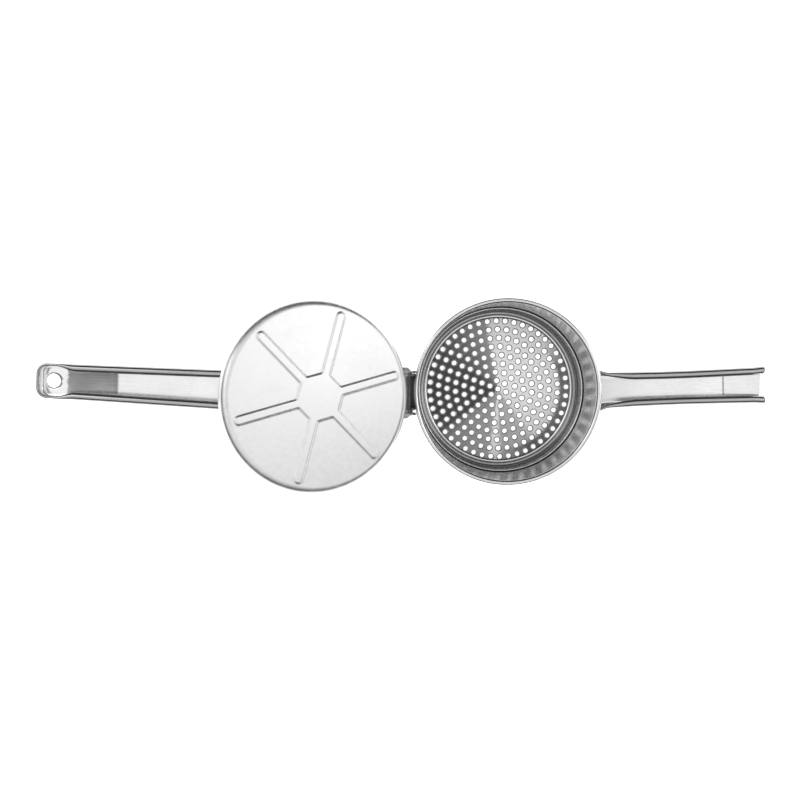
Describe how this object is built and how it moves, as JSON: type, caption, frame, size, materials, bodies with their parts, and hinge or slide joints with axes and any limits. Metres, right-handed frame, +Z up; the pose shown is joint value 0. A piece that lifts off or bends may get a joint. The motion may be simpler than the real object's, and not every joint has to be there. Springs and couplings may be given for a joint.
{
  "type": "potato ricer",
  "caption": "Steel potato ricer lying open: a cup with a loose round sieve, a fixed channel handle and a hinged channel handle that carries a tilting round presser.",
  "frame": {"origin": "on the cup's axis in the plane the cup stands on, the middle of the base opening", "axes": "+X from the cup's axis along the lower handle, +Z up along the cup's axis, +Y by the right hand; the upper handle lies open along -X"},
  "size_m": [0.3452, 0.0888, 0.1116],
  "materials": {
    "polished_steel": "polished",
    "satin_steel": "satin",
    "sieve_steel": "circular brushed",
    "pin_steel": "turned"
  },
  "bodies": {
    "cup": {"cup_shell": "polished_steel", "lower_handle": "polished_steel", "handle_saddle": "polished_steel", "hinge_bracket": "polished_steel"},
    "sieve": {"sieve_plate": "sieve_steel", "sieve_ring": "sieve_steel"},
    "hinge": {"hinge_pin": "pin_steel", "hinge_washer_front": "pin_steel", "hinge_washer_back": "pin_steel", "hinge_sleeve": "pin_steel"},
    "upper_arm": {"upper_handle": "polished_steel", "pivot_pin": "pin_steel", "pivot_washer_front": "pin_steel", "pivot_washer_back": "pin_steel", "pivot_sleeve": "pin_steel"},
    "presser": {"presser_bracket": "satin_steel", "presser_plate": "satin_steel"}
  },
  "joints": [
    {"name": "arm_swing", "type": "hinge", "parent": "cup", "child": "hinge", "pos_m": [-0.0496, 0, 0.0518], "axis": [0, 1, 0], "range_deg": [0, 153]},
    {"name": "press_stroke", "type": "hinge", "parent": "hinge", "child": "upper_arm", "pos_m": [-0.0496, 0, 0.0518], "axis": [0, 1, 0], "range_deg": [0, 27]},
    {"name": "presser_level", "type": "hinge", "parent": "upper_arm", "child": "presser", "pos_m": [-0.0992, 0, 0.0596], "axis": [0, -1, 0], "range_deg": [0, 25.3]},
    {"name": "sieve_turn", "type": "hinge", "parent": "cup", "child": "sieve", "pos_m": [0, 0, 0.001], "axis": [0, 0, 1], "continuous": true}
  ],
  "couplings": [
    {"joint": "presser_level", "follows": "press_stroke", "ratio": 0.93704}
  ]
}
